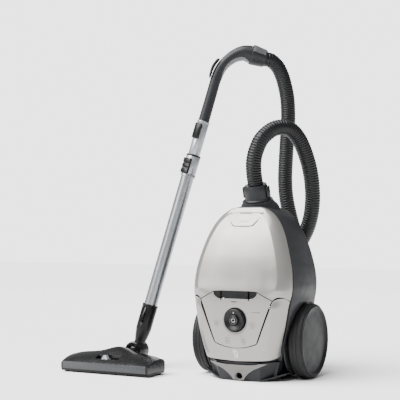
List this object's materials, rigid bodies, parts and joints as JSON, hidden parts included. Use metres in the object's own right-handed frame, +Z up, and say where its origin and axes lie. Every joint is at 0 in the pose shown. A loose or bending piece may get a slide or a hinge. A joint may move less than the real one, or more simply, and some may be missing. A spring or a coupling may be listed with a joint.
{
  "type": "canister vacuum cleaner",
  "caption": "Canister vacuum cleaner parked upright, with hose over the top, telescopic wand, floor nozzle and large side wheels.",
  "frame": {"origin": "on the standing surface, straight below the wheel axle and midway between the wheels", "axes": "+Z up, the control panel faces -Y, +X towards the right-hand wheel as seen from the front"},
  "size_m": [0.615, 0.4196, 0.8448],
  "materials": {
    "silver_shell": "satin metallic paint",
    "charcoal_shell": "fine-grained moulded plastic",
    "black_plastic": "satin moulded plastic",
    "mid_grey": "satin moulded plastic",
    "tube_metal": "satin anodised",
    "sleeve_silver": "satin paint",
    "hose_black": "satin ribbed plastic",
    "tyre_rubber": "matt rubber",
    "soft_rubber": "matt rubber",
    "bay_grey": "matt moulded plastic",
    "bright_steel": "drawn steel",
    "bag_fleece": "non-woven fleece",
    "bag_card": "pressed card",
    "filter_foam": "open foam",
    "board_green": "solder mask"
  },
  "bodies": {
    "root": {"upper_casing": "charcoal_shell", "base_casing": "charcoal_shell", "underside_shell": "mid_grey", "rear_bumper": "mid_grey", "cord_outlet": "soft_rubber", "hinge_pin": "bright_steel", "grip_insert": "black_plastic", "control_panel": "silver_shell", "circuit_board": "board_green", "inlet_collar": "black_plastic", "dust_bay": "bay_grey", "lid_seal": "soft_rubber", "bag_plate": "bag_card", "dust_bag": "bag_fleece", "motor_filter": "filter_foam", "motor_can": "bright_steel", "fan_housing": "bay_grey", "motor_mounts": "soft_rubber", "reel_spring_case": "bright_steel", "exhaust_grille": "black_plastic", "case_screws": "bright_steel", "wheel_axle": "bright_steel", "hose_front": "hose_black", "hose_rear": "hose_black"},
    "lid": {"dust_lid": "silver_shell", "lid_arms": "black_plastic"},
    "latch": {"lid_latch": "silver_shell"},
    "dial": {"power_dial": "black_plastic"},
    "button": {"power_button": "mid_grey"},
    "pedal": {"rewind_pedal": "silver_shell"},
    "fan": {"impeller": "bright_steel"},
    "reel": {"reel_drum": "bay_grey", "wound_cord": "soft_rubber"},
    "left_wheel": {"wheel_left": "charcoal_shell", "tyre_left": "tyre_rubber"},
    "right_wheel": {"wheel_right": "charcoal_shell", "tyre_right": "tyre_rubber"},
    "castor": {"castor_yoke": "black_plastic"},
    "castor_roller": {"castor_wheel": "soft_rubber"},
    "connector": {"hose_connector": "black_plastic"},
    "tab_left": {"release_tab_left": "black_plastic"},
    "tab_right": {"release_tab_right": "black_plastic"},
    "handle": {"handle_shell": "charcoal_shell", "handle_inlay": "mid_grey", "upper_sleeve": "sleeve_silver", "inner_tube": "tube_metal"},
    "hose_collar": {"hose_end_collar": "charcoal_shell"},
    "flap": {"air_flap": "black_plastic"},
    "tube_button": {"sleeve_button": "black_plastic"},
    "tube": {"outer_tube": "tube_metal", "latch_sleeve": "sleeve_silver"},
    "tube_latch": {"latch_slider": "black_plastic"},
    "neck": {"neck_pipe": "black_plastic"},
    "neck_catch": {"neck_button": "mid_grey"},
    "yoke": {"neck_yoke": "charcoal_shell"},
    "head": {"head_cover": "charcoal_shell", "front_strip": "mid_grey", "sole_plate": "black_plastic"},
    "selector": {"floor_selector": "mid_grey"},
    "brush": {"brush_strips": "soft_rubber"}
  },
  "joints": [
    {"name": "lid_hinge", "type": "hinge", "parent": "root", "child": "lid", "pos_m": [0, -0.138, 0.195], "axis": [1, 0, 0], "range_deg": [0, 75]},
    {"name": "latch_pull", "type": "hinge", "parent": "lid", "child": "latch", "pos_m": [0, -0.1033, 0.3675], "axis": [1, 0, 0], "range_deg": [0, 15], "stiffness_Nm_per_rad": 0.3},
    {"name": "dial_turn", "type": "hinge", "parent": "root", "child": "dial", "pos_m": [0, -0.14, 0.146], "axis": [0, -1, 0], "range_deg": [0, 270]},
    {"name": "button_press", "type": "slide", "parent": "dial", "child": "button", "axis": [0, 1, 0], "range_m": [0, 0.002], "stiffness_N_per_m": 400},
    {"name": "pedal_press", "type": "hinge", "parent": "root", "child": "pedal", "pos_m": [0, -0.1315, 0.186], "axis": [1, 0, 0], "range_deg": [0, 2], "stiffness_Nm_per_rad": 40},
    {"name": "fan_spin", "type": "hinge", "parent": "root", "child": "fan", "pos_m": [0, -0.026, 0.1], "axis": [1, 0, 0], "continuous": true},
    {"name": "reel_spin", "type": "hinge", "parent": "root", "child": "reel", "pos_m": [0.05, -0.03, 0.098], "axis": [1, 0, 0], "continuous": true},
    {"name": "left_wheel_spin", "type": "hinge", "parent": "root", "child": "left_wheel", "pos_m": [-0.13, 0, 0.09], "axis": [1, 0, 0], "continuous": true},
    {"name": "right_wheel_spin", "type": "hinge", "parent": "root", "child": "right_wheel", "pos_m": [0.13, 0, 0.09], "axis": [1, 0, 0], "continuous": true},
    {"name": "castor_swivel", "type": "hinge", "parent": "root", "child": "castor", "pos_m": [0, 0.05, 0.33], "axis": [0, 1, 0], "continuous": true},
    {"name": "castor_roll", "type": "hinge", "parent": "castor", "child": "castor_roller", "pos_m": [0, 0.077, 0.321], "axis": [1, 0, 0], "continuous": true},
    {"name": "connector_turn", "type": "hinge", "parent": "root", "child": "connector", "pos_m": [0, -0.01, 0.412], "axis": [0, -0.309, 0.9511], "continuous": true},
    {"name": "left_tab_press", "type": "slide", "parent": "connector", "child": "tab_left", "axis": [1, 0, 0], "range_m": [0, 0.0015], "stiffness_N_per_m": 400},
    {"name": "right_tab_press", "type": "slide", "parent": "connector", "child": "tab_right", "axis": [-1, 0, 0], "range_m": [0, 0.0015], "stiffness_N_per_m": 400},
    {"name": "handle_lift", "type": "slide", "parent": "root", "child": "handle", "axis": [0.2313, 0.156, 0.9603], "range_m": [0, 0.25]},
    {"name": "telescope", "type": "slide", "parent": "handle", "child": "tube", "axis": [-0.2313, -0.156, -0.9603], "range_m": [0, 0.25]},
    {"name": "hose_collar_turn", "type": "hinge", "parent": "handle", "child": "hose_collar", "pos_m": [-0.07661, 0.15066, 0.81497], "axis": [0.7961, 0.537, -0.279], "continuous": true},
    {"name": "flap_open", "type": "hinge", "parent": "handle", "child": "flap", "pos_m": [-0.18206, 0.07953, 0.75925], "axis": [0.5592, -0.829, 0], "range_deg": [0, 16]},
    {"name": "tube_button_press", "type": "slide", "parent": "handle", "child": "tube_button", "axis": [0.1675, 0.9659, -0.1973], "range_m": [0, 0.0015], "stiffness_N_per_m": 400},
    {"name": "tube_latch_slide", "type": "slide", "parent": "tube", "child": "tube_latch", "axis": [0.2313, 0.156, 0.9603], "range_m": [0, 0.006], "stiffness_N_per_m": 400},
    {"name": "neck_turn", "type": "hinge", "parent": "tube", "child": "neck", "pos_m": [-0.31687, -0.0114, 0.14003], "axis": [0.2313, 0.156, 0.9603], "range_deg": [-45, 45]},
    {"name": "neck_catch_press", "type": "slide", "parent": "neck", "child": "neck_catch", "axis": [0.1675, 0.9659, -0.1973], "range_m": [0, 0.0015], "stiffness_N_per_m": 400},
    {"name": "neck_roll", "type": "hinge", "parent": "neck", "child": "yoke", "pos_m": [-0.34, -0.027, 0.044], "axis": [0, 1, 0], "range_deg": [-40, 40]},
    {"name": "head_pitch", "type": "hinge", "parent": "yoke", "child": "head", "pos_m": [-0.34, -0.098, 0.024], "axis": [1, 0, 0], "range_deg": [-35, 20]},
    {"name": "selector_slide", "type": "slide", "parent": "head", "child": "selector", "axis": [1, 0, 0], "range_m": [0, 0.02]},
    {"name": "brush_drop", "type": "slide", "parent": "head", "child": "brush", "axis": [0, 0, -1], "range_m": [0, 0.002]}
  ],
  "couplings": [
    {"joint": "telescope", "follows": "handle_lift", "ratio": 1},
    {"joint": "brush_drop", "follows": "selector_slide", "ratio": 0.1}
  ]
}
